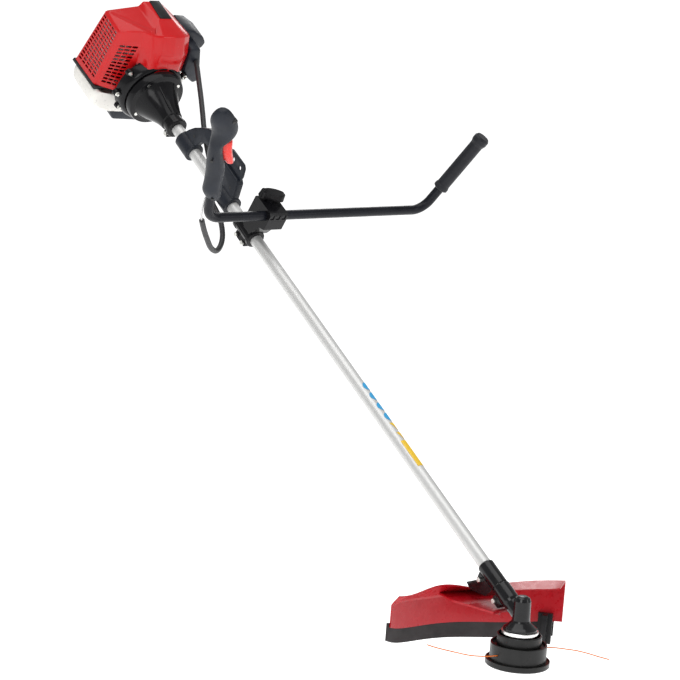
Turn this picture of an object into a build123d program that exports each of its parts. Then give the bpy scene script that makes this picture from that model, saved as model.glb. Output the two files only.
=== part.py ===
# Petrol string trimmer in its working attitude, millimetres.
# +Z is up along the cutting head's axis, +Y points ahead of the operator, +X to the operator's right.
# The origin is the centre of the harness hole that carries the machine on its strap.
from build123d import *
from math import cos, pi, radians, sin, tan
import os

os.makedirs("parts", exist_ok=True)

# ---------------------------------------------------------------- driving dimensions
SHAFT_TILT = 33.0          # shaft above the horizontal
TUBE_R = 14.0              # 28 mm drive tube
TUBE_BORE_R = 12.5
BAR_R = 11.0               # 22 mm handlebar
CROSSING_HEIGHT = 116.4    # shaft axis above the ground, where it meets the head's axis
TUBE_START = 62.0          # stations are measured up the shaft from that crossing
TUBE_END = 1556.0
HOLE_STATION = 1277.0      # harness hole
HOLE_ABOVE = 87.0
BAR_STATION = 1122.0       # handlebar centre
BAR_ABOVE = 83.0
DRIVE_R = 4.0              # solid drive shaft
OUTPUT_R = 5.0             # output shaft of the bevel gearbox
FIT = 0.05                 # radial running clearance
GAP = 0.4                  # clearance between parts that pass each other

# ---------------------------------------------------------------- frames of reference
UP_SHAFT = Vector(0, -cos(radians(SHAFT_TILT)), sin(radians(SHAFT_TILT)))
ABOVE = Vector(0, sin(radians(SHAFT_TILT)), cos(radians(SHAFT_TILT)))
RIGHT = Vector(1, 0, 0)
CROSSING = -(UP_SHAFT * HOLE_STATION) - ABOVE * HOLE_ABOVE
GROUND = CROSSING.Z - CROSSING_HEIGHT


def spot(x, s, p):
    """The place x to the right, s up the shaft and p above its axis."""
    return CROSSING + RIGHT * x + UP_SHAFT * s + ABOVE * p


def station(s, x=0, p=0):
    """Plane square to the shaft: its own axes are right and above."""
    return Plane(origin=spot(x, s, p), x_dir=RIGHT, z_dir=UP_SHAFT)


def profile(x=0.0):
    """Plane along the shaft: its own axes are up the shaft and above, its normal is left."""
    return Plane(origin=spot(x, 0, 0), x_dir=UP_SHAFT, z_dir=-RIGHT)


def deck(p=0.0):
    """Plane over the shaft: its own axes are up the shaft and right, its normal is above."""
    return Plane(origin=spot(0, 0, p), x_dir=UP_SHAFT, z_dir=ABOVE)


def level(z):
    """Horizontal plane at height z over the ground, centred on the head's axis."""
    return Plane(origin=(0, CROSSING.Y, GROUND + z), x_dir=RIGHT, z_dir=(0, 0, 1))


SHAFT_AXIS = Axis(origin=spot(0, 0, 0), direction=UP_SHAFT)
HEAD_AXIS = Axis(origin=level(0).origin, direction=(0, 0, 1))
HEAD_SIDE = Plane(origin=level(0).origin, x_dir=RIGHT, z_dir=(0, -1, 0))   # right, up


def turned(points, plane, axis):
    """A solid of revolution from the outline points."""
    with BuildPart() as piece:
        with BuildSketch(plane):
            with BuildLine():
                Polyline(*points, close=True)
            make_face()
        revolve(axis=axis)
    return piece


def shaft_turned(points):
    """Revolved about the shaft: points are (station, radius)."""
    return turned(points, profile(), SHAFT_AXIS)


def head_turned(points):
    """Revolved about the head's axis: points are (radius, height)."""
    return turned(points, HEAD_SIDE, HEAD_AXIS)


def save(piece, label):
    """Name a finished piece and write it."""
    piece.part.label = label
    export_step(piece.part, f"parts/{label}.step")


def corner_radii(points):
    """Largest arcs that the runs beside each corner leave room for."""
    radii = []
    for before, here, after in zip(points, points[1:], points[2:]):
        arriving = here - before
        leaving = after - here
        half_turn = radians(arriving.get_angle(leaving)) / 2
        radii.append(0.45 * min(arriving.length, leaving.length) / tan(half_turn))
    return radii


def cord_tube(points, diameter, name):
    """A tube of straight runs joined by tangent arcs."""
    radii = corner_radii(points)
    print(name, "radii", [round(r) for r in radii])
    with BuildPart() as piece:
        with BuildLine() as route:
            FilletPolyline(*points, radius=radii)
        with BuildSketch(Plane(origin=points[0], z_dir=points[1] - points[0])):
            Circle(diameter / 2)
        sweep()
    length = route.wires()[0].length
    share = piece.part.volume / (pi * diameter**2 / 4 * length)
    print(name, "length", round(length, 1), "volume share", round(share, 4))
    return piece


# ================================================================ fasteners
CLAMP_BOLTS = [(66, -26), (124, -25), (1153, -26), (1181, -26), (1528, -25)]   # up the shaft, above
BOLT_CIRCLE = 58.0         # clutch housing flange

with BuildPart() as bolts:
    for start, length, radius in ((-15, 30, 3), (-17, 5.6, 5.5), (11.4, 5.6, 5.5)):
        with BuildSketch(profile(-start)):
            with Locations(*CLAMP_BOLTS):
                if radius == 3:
                    Circle(radius)
                else:
                    RegularPolygon(radius, 6)
        extrude(amount=length)
    with BuildSketch(station(1616.8)):
        with PolarLocations(BOLT_CIRCLE, 4, start_angle=45):
            RegularPolygon(5.5, 6)
    extrude(amount=5)
    with BuildSketch(station(1620)):
        with PolarLocations(BOLT_CIRCLE, 4, start_angle=45):
            Circle(2.5)
    extrude(amount=18)
save(bolts, "bolts")

with BuildPart() as bolt_holes:
    with BuildSketch(profile(30)):
        with Locations(*CLAMP_BOLTS):
            Circle(3.05)
    extrude(amount=60)
    with BuildSketch(station(1600)):
        with PolarLocations(BOLT_CIRCLE, 4, start_angle=45):
            Circle(5.8)
    extrude(amount=22)
    with BuildSketch(station(1621)):
        with PolarLocations(BOLT_CIRCLE, 4, start_angle=45):
            Circle(2.6)
    extrude(amount=24)

# ================================================================ cutting head

# --- bump knob: the cap that is tapped on the ground to feed line
knob = head_turned([(0, 0), (14, 0.6), (22, 3.5), (27, 10), (27, 14), (20, 14), (20, 27), (0, 27)])
save(knob, "bump_knob")

# --- spool that carries the wound line, turning with the knob
with BuildPart() as spool:
    with BuildSketch(level(27.2)):
        Circle(50)
        Circle(8.2, mode=Mode.SUBTRACT)
    extrude(amount=2)
    with BuildSketch(level(29.2)):
        Circle(24)
        Circle(19, mode=Mode.SUBTRACT)
    extrude(amount=14)
    with BuildSketch(level(43.2)):
        Circle(50)
        Circle(19, mode=Mode.SUBTRACT)
    extrude(amount=2)
save(spool, "spool")

# --- compression spring between spool floor and head housing
with BuildPart() as spring:
    with BuildLine(level(30.8)):
        Helix(pitch=4.4, height=17.6, radius=15)
    with BuildSketch(Plane(origin=spring.pending_edges[0] @ 0, z_dir=spring.pending_edges[0] % 0)):
        Circle(0.8)
    sweep()
save(spring, "spool_spring")

# --- lower cover with the broad rim that slides over the ground
cover_rim = head_turned([(29, 17), (52, 17), (56, 14), (64, 14), (66, 16), (66, 26), (63.5, 26),
                         (63.5, 24), (58.4, 24), (58.4, 26.6), (51, 26.6), (51, 20), (29, 20)])
save(cover_rim, "head_cover")

# --- head housing: the drum above the cover, open at the top for the dust cup
head_housing = head_turned([(OUTPUT_R + 0.02, 50), (51.5, 50), (55, 46), (55, 27), (58, 27), (58, 59),
                            (57, 60), (54.6, 60), (54.6, 53.5), (OUTPUT_R + 0.02, 53.5)])
EYELET_HEIGHT = 40.0
with BuildPart() as housing:
    add(head_housing.part)
    for side in (0, 180):
        exit_plane = Plane(origin=level(EYELET_HEIGHT).origin, x_dir=(0, 1, 0),
                           z_dir=(cos(radians(side)), sin(radians(side)), 0))
        with BuildSketch(exit_plane.offset(52)):
            Circle(2.6)
        extrude(amount=10, mode=Mode.SUBTRACT)
save(housing, "head_housing")

# --- dust cup and steel drive flange stacked under the gearbox
dust_cup = head_turned([(OUTPUT_R + 0.02, 56), (44, 56), (46, 58), (46, 77), (44.5, 78.5), (43, 78.5),
                        (43, 61), (OUTPUT_R + 0.02, 61)])
save(dust_cup, "dust_cup")
drive_flange = head_turned([(OUTPUT_R + 0.02, 61.2), (16, 61.2), (16, 79.5), (37, 79.5), (38, 80.5),
                            (38, 86), (37, 87), (OUTPUT_R + 0.02, 87)])
save(drive_flange, "drive_flange")

# --- nylon line, one free end out of each eyelet, curling away from the turn
LINE_DIAMETER = 2.4


def free_line(side, name):
    """One free end: side is 1 on the right, -1 on the left."""
    reach = [(54, 0), (74, -2), (93, -12), (109, -29), (121, -51), (129, -76), (135, -101), (139, -122)]
    drop = [0, 0.4, 0.2, -0.4, 0.6, 0.2, -0.8, -0.2]
    points = [level(EYELET_HEIGHT + d).from_local_coords((side * x, side * y))
              for (x, y), d in zip(reach, drop)]
    save(cord_tube([Vector(*point) for point in points], LINE_DIAMETER, name), name)


free_line(1, "trimmer_line_right")
free_line(-1, "trimmer_line_left")

# ================================================================ bevel gearbox
PINION_TEETH = 14
PINION_CONE = 24.0         # pitch cone half angles: together 90 minus the shaft tilt
GEAR_CONE = 90 - SHAFT_TILT - PINION_CONE
CONE_LONG = 20.0
CONE_SHORT = 13.0


def cone_point(distance, half_angle, lift):
    """Along and out from the axis, for a point lift below the pitch cone's surface."""
    angle = radians(half_angle)
    return (distance * cos(angle) + lift * sin(angle), distance * sin(angle) - lift * cos(angle))


near_along, near_out = cone_point(CONE_SHORT, PINION_CONE, 0.2)
far_along, far_out = cone_point(CONE_LONG, PINION_CONE, 0.2)
pinion_blank = shaft_turned([(near_along, 0), (near_along, near_out), (far_along, far_out), (21.5, 7.2),
                             (21.5, 6), (50, 6), (50, DRIVE_R + 0.02), (36, DRIVE_R + 0.02), (36, 0)])
with BuildPart() as pinion:
    add(pinion_blank.part)
    for tooth_gap in range(PINION_TEETH):
        turn = tooth_gap * 360 / PINION_TEETH
        with BuildSketch(station(near_along - 1)):
            with PolarLocations(near_out, 1, start_angle=turn):
                Rectangle(2.2, 0.8)
        with BuildSketch(station(far_along + 1)):
            with PolarLocations(far_out, 1, start_angle=turn):
                Rectangle(3.0, 1.2)
        loft(mode=Mode.SUBTRACT)
save(pinion, "bevel_pinion")

gear_near, gear_near_out = cone_point(CONE_SHORT, GEAR_CONE, 0.2)
gear_far, gear_far_out = cone_point(CONE_LONG, GEAR_CONE, 0.2)
GEAR_BASE = CROSSING_HEIGHT
gear = head_turned([(OUTPUT_R + 0.02, GEAR_BASE + gear_near), (gear_near_out, GEAR_BASE + gear_near),
                    (gear_far_out, GEAR_BASE + gear_far), (gear_far_out, GEAR_BASE + 21),
                    (OUTPUT_R + 0.02, GEAR_BASE + 21)])
save(gear, "bevel_gear")

output = head_turned([(0, 50.5), (OUTPUT_R, 50.5), (OUTPUT_R, 90), (6, 90), (6, 101), (OUTPUT_R, 101),
                      (OUTPUT_R, 146.5), (0, 146.5)])
save(output, "output_shaft")

with BuildPart() as bearings:
    with BuildSketch(level(92)):
        Circle(15.5)
        Circle(6 + FIT, mode=Mode.SUBTRACT)
    extrude(amount=9)
    with BuildSketch(level(138)):
        Circle(12.9)
        Circle(OUTPUT_R + FIT, mode=Mode.SUBTRACT)
    extrude(amount=8)
    with BuildSketch(station(23)):
        Circle(12.9)
        Circle(6 + FIT, mode=Mode.SUBTRACT)
    extrude(amount=10)
save(bearings, "gearbox_bearings")

with BuildPart() as gearbox:
    add(head_turned([(0, 88), (35, 88), (35, 91.5), (29, 96), (20, 104), (18.6, 108), (17.6, 148),
                     (15, 154.5), (9, 158), (0, 158.5)]).part)
    add(shaft_turned([(0, 0), (0, 17), (34, 17.5), (40, 19), (78, 19), (80, 17.5), (80, 0)]).part)
    with BuildSketch(profile()):            # clamp lugs under the neck, slotted below
        with Locations((62, -24)):
            RectangleRounded(26, 16, 4)
    extrude(amount=11, both=True)
    add(head_turned([(0, 87), (15.55, 87), (15.55, 101.2), (13, 103), (13, 146.5), (0, 148)]).part,
        mode=Mode.SUBTRACT)
    add(shaft_turned([(0, 0), (0, 11), (22, 13), (34, 13), (34, 8), (58, 8), (58, TUBE_R + 0.02),
                      (81, TUBE_R + 0.02), (81, 0)]).part, mode=Mode.SUBTRACT)
    with BuildSketch(profile()):
        with Locations((66, -26)):
            Rectangle(30, 30)
    extrude(amount=1, both=True, mode=Mode.SUBTRACT)
    add(bolt_holes.part, mode=Mode.SUBTRACT)
save(gearbox, "gearbox_housing")

# ================================================================ shaft
with BuildPart() as tube:
    with BuildSketch(station(TUBE_START)):
        Circle(TUBE_R)
        Circle(TUBE_BORE_R, mode=Mode.SUBTRACT)
    extrude(amount=TUBE_END - TUBE_START)
save(tube, "shaft_tube")

with BuildPart() as bushes:
    for number in range(5):
        with BuildSketch(station(240 + 270 * number)):
            Circle(TUBE_BORE_R - 0.02)
            Circle(DRIVE_R + FIT, mode=Mode.SUBTRACT)
        extrude(amount=28)
save(bushes, "shaft_bushes")

with BuildPart() as drive_shaft:
    with BuildSketch(station(37)):
        Circle(DRIVE_R)
    extrude(amount=1560)
save(drive_shaft, "drive_shaft")

# ================================================================ debris guard
# The wall follows a wide arc whose centre lies ahead of the head and to its right.
WALL_R = 340.0
WALL = 3.0
GUARD_CENTRE = (79.0, 111.0)
GUARD_FROM = -76.5
GUARD_TO = -145.5


def guard_plane(angle):
    """Upright plane through the guard's centre: its own axes are outwards and up."""
    origin = level(0).from_local_coords(GUARD_CENTRE)
    out = Vector(cos(radians(angle)), sin(radians(angle)), 0)
    return Plane(origin=origin, x_dir=out, z_dir=out.cross(Vector(0, 0, 1)))


# angle, wall foot height, wall top height, rim radius, rim height
GUARD_SECTIONS = [
    (GUARD_FROM, 52, 104, 322, 120),
    (-86, 43, 106, 292, 134),
    (-97, 43, 105, 284, 140),
    (-110, 43, 112, 276, 130),
    (-124, 43, 126, 280, 126),
    (-136, 50, 137, 282, 132),
    (GUARD_TO, 56, 144, 284, 141),
]
with BuildPart() as guard:
    for angle, foot, top, rim_r, rim_z in GUARD_SECTIONS:
        with BuildSketch(guard_plane(angle)):
            with BuildLine():
                Polyline((WALL_R - WALL, foot), (WALL_R, foot), (WALL_R, top - 4), (WALL_R - 5, top + 3),
                         (rim_r, rim_z + WALL), (rim_r, rim_z), (WALL_R - 7, top),
                         (WALL_R - WALL, top - 6), close=True)
            make_face()
    loft(ruled=False)
    with BuildSketch(level(112)):           # bridge plate out to the bracket
        with BuildLine():
            Polyline((-34, -46), (34, -46), (52, -150), (40, -206), (-62, -196), (-92, -150), close=True)
        make_face()
    extrude(amount=4)
    with BuildSketch(level(101)):           # two ribs under the plate
        with Locations((-30, -110), (8, -118)):
            Rectangle(5, 110, rotation=8)
    extrude(amount=12)
save(guard, "guard")

with BuildPart() as skirt:
    for angle, foot, top in [(GUARD_FROM + 1, 24, 62), (-80, 15, 58), (-95, 10, 56), (-115, 8, 56),
                             (-130, 12, 58), (GUARD_TO + 3, 22, 66)]:
        with BuildSketch(guard_plane(angle)):
            with Locations((WALL_R + 2.2, (foot + top) / 2)):
                Rectangle(3.6, top - foot)
    loft(ruled=False)
save(skirt, "guard_skirt")

with BuildPart() as cutter:
    for angle, depth, foot in [(-139.5, 26, 7), (-141.2, 9, 7), (-137.8, 6, 22)]:
        with BuildSketch(guard_plane(angle)):
            with Locations((WALL_R - WALL - 0.4 - depth / 2, (foot + 72) / 2)):
                Rectangle(depth, 72 - foot)
        extrude(amount=5.5, both=True)
save(cutter, "line_cutter")

# --- bracket: collar round the tube, arm and plate that hold the guard
with BuildPart() as bracket:
    add(shaft_turned([(82, TUBE_R + 0.02), (82, 17.6), (138, 17.6), (140, 16.5),
                      (140, TUBE_R + 0.02)]).part)
    with BuildSketch(profile()):
        with BuildLine():
            Polyline((86, -15), (136, -15), (132, -34), (150, -60), (132, -64), (92, -40), close=True)
        make_face()
    extrude(amount=11, both=True)
    add(shaft_turned([(60, 0), (60, TUBE_R + 0.02), (160, TUBE_R + 0.02), (160, 0)]).part,
        mode=Mode.SUBTRACT)
    with BuildSketch(level(100)):
        Rectangle(400, 400)
    extrude(amount=16.3, mode=Mode.SUBTRACT)
    with BuildSketch(level(20)):
        Rectangle(400, 400)
    extrude(amount=80, mode=Mode.SUBTRACT)
    add(bolt_holes.part, mode=Mode.SUBTRACT)
save(bracket, "guard_bracket")


# ================================================================ handlebar clamp
with BuildPart() as clamp_base:
    add(shaft_turned([(1132, TUBE_R + 0.02), (1132, 21), (1134, 22.5), (1142, 22.5), (1144, 20.5),
                      (1190, 20.5), (1192, 22.5), (1200, 22.5), (1202, 21), (1202, TUBE_R + 0.02)]).part)
    with BuildSketch(profile()):
        with BuildLine():
            Polyline((1102, 58), (1102, BAR_ABOVE), (1172, BAR_ABOVE), (1172, 24), (1160, 16),
                     (1136, 16), (1120, 50), close=True)
        make_face()
    extrude(amount=25, both=True)
    with BuildSketch(profile()):            # split ears under the ring
        with Locations((1167, -24)):
            RectangleRounded(44, 18, 4)
    extrude(amount=10, both=True)
    with BuildSketch(profile()):
        with Locations((1167, -27)):
            Rectangle(72, 26)
    extrude(amount=1.2, both=True, mode=Mode.SUBTRACT)
    with BuildSketch(profile()):
        with Locations((BAR_STATION, BAR_ABOVE)):
            Circle(BAR_R + FIT)
    extrude(amount=26, both=True, mode=Mode.SUBTRACT)
    with BuildSketch(station(1130)):
        Circle(TUBE_R + 0.02)
    extrude(amount=74, mode=Mode.SUBTRACT)
    with BuildSketch(deck(20)):
        with Locations((1152, 0)):
            Circle(4 + FIT)
    extrude(amount=70, mode=Mode.SUBTRACT)
    add(bolt_holes.part, mode=Mode.SUBTRACT)
save(clamp_base, "bar_clamp_base")

with BuildPart() as clamp_cap:
    with BuildSketch(profile()):
        with BuildLine():
            Polyline((1102, BAR_ABOVE + GAP), (1102, 97), (1108, 102), (1168, 102), (1172, 98),
                     (1172, BAR_ABOVE + GAP), close=True)
        make_face()
    extrude(amount=25, both=True)
    with BuildSketch(profile()):
        with Locations((BAR_STATION, BAR_ABOVE)):
            Circle(BAR_R + FIT)
    extrude(amount=26, both=True, mode=Mode.SUBTRACT)
    with BuildSketch(deck(80)):
        with Locations((1152, 0)):
            Circle(4.3)
    extrude(amount=30, mode=Mode.SUBTRACT)
    for x in (-15, 1, 17):                  # pockets between the front ribs
        with BuildSketch(profile(x)):
            with Locations((1101, 93)):
                Rectangle(6, 11)
        extrude(amount=5, both=True, mode=Mode.SUBTRACT)
save(clamp_cap, "bar_clamp_cap")

# --- wing knob with its threaded stud
with BuildPart() as wing:
    with BuildSketch(deck(30)):
        with Locations((1152, 0)):
            Circle(4)
    extrude(amount=80)
    with BuildSketch(deck(102.4)):
        with Locations((1152, 0)):
            Circle(10)
    extrude(amount=10)
    with BuildSketch(deck(110)):
        with Locations((1152, 0)):
            SlotOverall(62, 22, rotation=70)
    extrude(amount=15, taper=8)
    with BuildSketch(deck(125)):
        with Locations((1152, 0)):
            Ellipse(9, 26, rotation=160)
    extrude(amount=6, taper=30)
save(wing, "wing_knob")

# ================================================================ handlebar and grips
GRIP_LEAN = 18.9           # throttle grip outwards from square to the shaft
LEFT_LEAN = 16.0
GRIP_CORNER = 181.0        # where the straight bar and the grip's line would meet
LEFT_CORNER = -441.0
BEND_R = 42.0


def along_grip(distance, forward=0.0, out=0.0):
    """A point on the throttle grip's line, measured from the bar's corner."""
    lean = radians(GRIP_LEAN)
    x = GRIP_CORNER + distance * sin(lean) + out * cos(lean)
    p = BAR_ABOVE + distance * cos(lean) - out * sin(lean)
    return spot(x, BAR_STATION - forward, p)


GRIP_DIR = (along_grip(1) - along_grip(0)).normalized()


def grip_plane(distance, forward=0.0):
    """Square to the throttle grip: its own axes are ahead and inwards."""
    return Plane(origin=along_grip(distance, forward), x_dir=-UP_SHAFT, z_dir=GRIP_DIR)


GRIP_IN = UP_SHAFT.cross(GRIP_DIR)
GRIP_SIDE = Plane(origin=along_grip(0), x_dir=-UP_SHAFT, z_dir=-GRIP_IN)   # ahead, along the grip


def along_left(distance):
    lean = radians(LEFT_LEAN)
    return spot(LEFT_CORNER - distance * sin(lean), BAR_STATION, BAR_ABOVE + distance * cos(lean))


LEFT_DIR = (along_left(1) - along_left(0)).normalized()
with BuildPart() as bar:
    with BuildLine():
        FilletPolyline(along_left(222), along_left(0), along_grip(0), along_grip(128), radius=BEND_R)
    with BuildSketch(Plane(origin=along_left(222), z_dir=-LEFT_DIR)):
        Circle(BAR_R)
        Circle(BAR_R - 1.5, mode=Mode.SUBTRACT)
    sweep()
save(bar, "handlebar")

LEFT_GRIP = [(68, 15), (70, 17.5), (76, 17.5), (82, 15.5), (205, 15.5), (214, 18.5), (224, 18.5),
             (229, 15)]
with BuildPart() as left_grip:
    with BuildSketch(Plane(origin=along_left(0), x_dir=LEFT_DIR, z_dir=UP_SHAFT)):
        with BuildLine():
            Polyline((68, BAR_R + 0.02), *LEFT_GRIP, (229, 0), (222.2, 0), (222.2, BAR_R + 0.02),
                     close=True)
        make_face()
    revolve(axis=Axis(origin=along_left(0), direction=LEFT_DIR))
save(left_grip, "left_grip")

TRIGGER_PIVOT = (14, 243)                  # ahead, along the grip
LOCKOUT_PIVOT = (-9, 238)
# distance along the grip, forward shift, half depth, half width
GRIP_SECTIONS = [(47, -4, 21, 18), (62, -3, 21, 17.5), (85, 0, 17.5, 15.5), (140, 1, 19, 16),
                 (190, 1, 18.5, 16), (232, 1, 19.5, 17)]
HEAD_SECTIONS = [(232, 1, 19.5, 17), (262, 10, 32, 21), (296, 12, 36, 23), (322, 8, 30, 20),
                 (334, 4, 17, 12)]


def grip_loft(sections, inset=0.0):
    """Smooth solid through rounded sections along the grip."""
    with BuildPart() as shape:
        for distance, forward, depth, width in sections:
            with BuildSketch(grip_plane(distance, forward)):
                Ellipse(depth - inset, width - inset)
        loft()
    return shape.part


with BuildPart() as grip_whole:
    add(grip_loft(GRIP_SECTIONS))
    add(grip_loft(HEAD_SECTIONS))
    add(grip_loft([(132, 1, 19, 16), (190, 1, 18.5, 16), (233, 1, 19.5, 17)], 3), mode=Mode.SUBTRACT)
    add(grip_loft([(231, 1, 19.5, 17), (262, 10, 32, 21), (296, 12, 36, 23), (318, 8, 30, 20)], 3),
        mode=Mode.SUBTRACT)
    with BuildSketch(grip_plane(40)):
        Circle(BAR_R + 0.02)
    extrude(amount=100, mode=Mode.SUBTRACT)
    with BuildSketch(grip_plane(176, 24)):  # window for the trigger
        Rectangle(34, 13.2)
    extrude(amount=76, mode=Mode.SUBTRACT)
    with BuildSketch(grip_plane(176, -20)):  # window for the lockout lever
        Rectangle(22, 9.2)
    extrude(amount=68, mode=Mode.SUBTRACT)
    with BuildSketch(GRIP_SIDE.offset(-13)):
        with Locations(TRIGGER_PIVOT):
            Circle(2.02)
        with Locations(LOCKOUT_PIVOT):
            Circle(1.52)
    extrude(amount=26, mode=Mode.SUBTRACT)
    with BuildSketch(GRIP_SIDE):            # slot for the stop switch
        with Locations((18, 300)):
            Rectangle(18.6, 9.6)
    extrude(amount=-60, mode=Mode.SUBTRACT)

for label, direction in (("throttle_grip_outer", -GRIP_IN), ("throttle_grip_inner", GRIP_IN)):
    with BuildPart() as half:
        add(grip_whole.part)
        split(bisect_by=Plane(origin=along_grip(0), x_dir=GRIP_DIR, z_dir=direction))
    save(half, label)

# --- trigger, lockout lever and stop switch
with BuildPart() as trigger:
    with BuildSketch(GRIP_SIDE):
        with BuildLine():
            Polyline((9, 244), (26, 244))
            Spline((26, 244), (32, 224), (38, 204), (33, 188))
            Polyline((33, 188), (20, 190), (9, 202), (9, 244))
        make_face()
    extrude(amount=6, both=True)
    with BuildSketch(GRIP_SIDE):
        with Locations(TRIGGER_PIVOT):
            Circle(2 + FIT)
    extrude(amount=7, both=True, mode=Mode.SUBTRACT)
save(trigger, "throttle_trigger")

with BuildPart() as lockout:
    with BuildSketch(GRIP_SIDE):
        with BuildLine():
            Polyline((-12, 238), (-19, 228), (-23, 208), (-22, 190), (-17, 184), (-12, 190), (-6, 226),
                     (-6, 238), close=True)
        make_face()
        with Locations(LOCKOUT_PIVOT):
            Circle(4)
    extrude(amount=4, both=True)
    with BuildSketch(GRIP_SIDE):
        with Locations(LOCKOUT_PIVOT):
            Circle(1.5 + FIT)
    extrude(amount=7, both=True, mode=Mode.SUBTRACT)
save(lockout, "throttle_lockout")

with BuildPart() as pins:
    with BuildSketch(GRIP_SIDE.offset(-13)):
        with Locations(TRIGGER_PIVOT):
            Circle(2)
        with Locations(LOCKOUT_PIVOT):
            Circle(1.5)
    extrude(amount=26)
save(pins, "grip_pins")

with BuildPart() as stop_switch:
    with BuildSketch(GRIP_SIDE.offset(-15)):
        with Locations((15, 300)):
            RectangleRounded(12, 9, 2)
    extrude(amount=-12, taper=4)
save(stop_switch, "stop_switch")

# ================================================================ hip guard and harness plate
with BuildPart() as hip:
    with BuildSketch(profile()):
        with BuildLine():
            Polyline((1245, 0), (1245, 22), (1258, 92), (1268, 103), (1322, 103), (1345, 84), (1400, 78),
                     (1437, 70), (1470, 26), (1470, 0), (1440, 0), (1428, 30), (1396, 46), (1350, 44),
                     (1312, 30), (1290, 14), (1290, 0), close=True)
        make_face()
    extrude(amount=9, both=True)
    for start, length in ((1245, 46), (1438, 33)):
        with BuildSketch(station(start)):
            Circle(20.5)
        extrude(amount=length)
    with BuildSketch(profile()):
        with Locations((HOLE_STATION, HOLE_ABOVE), (HOLE_STATION + 30, HOLE_ABOVE)):
            Circle(5.25)
    extrude(amount=12, both=True, mode=Mode.SUBTRACT)
    with BuildSketch(station(1200)):
        Circle(TUBE_R + 0.02)
    extrude(amount=300, mode=Mode.SUBTRACT)
save(hip, "hip_guard")

# ================================================================ throttle cable and its sleeve
SLEEVE_DIAMETER = 13.0
SLEEVE_ROUTE = [
    (-110, 1691, 85), (-101, 1655, 77), (-84, 1610, 69), (-66, 1560, 60), (-47, 1508, 48),
    (-31, 1466, 38), (-24, 1425, 20), (-25, 1385, -6), (-10, 1342, -28), (14, 1295, -31),
    (34, 1254, -16), (42, 1215, -14), (44, 1180, -40), (66, 1157, -56), (100, 1147, -36),
    (131, 1142, 0), (158, 1140, 34), (175, 1140, 60),
]
sleeve = cord_tube([spot(*place) for place in SLEEVE_ROUTE], SLEEVE_DIAMETER, "cable_sleeve")
save(sleeve, "cable_sleeve")
CABLE_ROUTE = [(175, 1140, 60), (184.2, 1140, 74.1), (191, 1141, 98), (196, 1141, 125)]
throttle_cable = cord_tube([spot(*place) for place in CABLE_ROUTE], 5.0, "throttle_cable")
save(throttle_cable, "throttle_cable")

# ================================================================ clutch
with BuildPart() as clutch_housing:
    add(shaft_turned([(1518, TUBE_R + 0.02), (1518, 20), (1546, 20), (1560, 23), (1590, 36), (1614, 50),
                      (1628, 60), (1634, 60), (1634, 39), (1600, 39), (1584, 24), (1584, 9 + FIT),
                      (1558, 9 + FIT), (1558, TUBE_R + 0.02)]).part)
    with BuildSketch(station(1622)):
        with PolarLocations(BOLT_CIRCLE, 4, start_angle=45):
            Circle(9)
    extrude(amount=12)
    with BuildSketch(profile()):            # split ears at the tube end
        with Locations((1531, -22)):
            RectangleRounded(26, 18, 4)
    extrude(amount=10, both=True)
    with BuildSketch(profile()):
        with Locations((1529, -25)):
            Rectangle(34, 24)
    extrude(amount=1.2, both=True, mode=Mode.SUBTRACT)
    with BuildSketch(station(1500)):
        Circle(TUBE_R + 0.02)
    extrude(amount=58, mode=Mode.SUBTRACT)
    add(bolt_holes.part, mode=Mode.SUBTRACT)
save(clutch_housing, "clutch_housing")

drum = shaft_turned([(1559, DRIVE_R + 0.02), (1559, 9), (1602, 9), (1602, 36), (1628, 36), (1628, 33),
                     (1605, 33), (1605, DRIVE_R + 0.02)])
save(drum, "clutch_drum")

with BuildPart() as shoes:
    with BuildSketch(station(1608)):
        Circle(32.4)
        Circle(10.1, mode=Mode.SUBTRACT)
        Rectangle(70, 5, mode=Mode.SUBTRACT)
    extrude(amount=14)
save(shoes, "clutch_shoes")

# ================================================================ crank train
CRANK_STATION = 1705.0
THROW = 13.0
ROD_LENGTH = 62.0
PISTON_R = 18.0

with BuildPart() as flywheel:
    with BuildSketch(station(1641)):
        Circle(66)
        Circle(8.02, mode=Mode.SUBTRACT)
    extrude(amount=4)
    with BuildSketch(station(1645)):
        with PolarLocations(50, 14):
            Rectangle(30, 2.5, rotation=18)
        Circle(18)
        Circle(8.02, mode=Mode.SUBTRACT)
    extrude(amount=17)
save(flywheel, "flywheel")

with BuildPart() as crankshaft:
    for start, web_start, journal, length in ((1607, 1690, 1607, 84), (1711, 1711, 1719, 79)):
        with BuildSketch(station(journal)):
            Circle(8)
        extrude(amount=length)
        with BuildSketch(station(web_start)):
            Circle(25.6)
            with Locations((-20, 24), (20, 24)):
                Circle(13, mode=Mode.SUBTRACT)
        extrude(amount=9)
    with BuildSketch(station(1699)):        # crank pin, opened where the rod would turn on it
        with Locations((0, THROW)):
            Circle(5)
    extrude(amount=1.4)
    with BuildSketch(station(1711)):
        with Locations((0, THROW)):
            Circle(5)
    extrude(amount=-1.4)
    with BuildSketch(station(1607)):
        Circle(10)
    extrude(amount=16)
save(crankshaft, "crankshaft")

with BuildPart() as rod:
    for height, radius in ((THROW, 10), (THROW + ROD_LENGTH, 7)):
        with BuildSketch(station(1701)):
            with Locations((0, height)):
                Circle(radius)
        extrude(amount=8)
    with BuildSketch(station(1702.5)):
        with Locations((0, THROW + ROD_LENGTH / 2)):
            Rectangle(9, ROD_LENGTH)
    extrude(amount=5)
    with BuildSketch(station(1700)):
        with Locations((0, THROW)):
            Circle(5.2)
        with Locations((0, THROW + ROD_LENGTH)):
            Circle(4 + 0.02)
    extrude(amount=12, mode=Mode.SUBTRACT)
save(rod, "connecting_rod")

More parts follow.
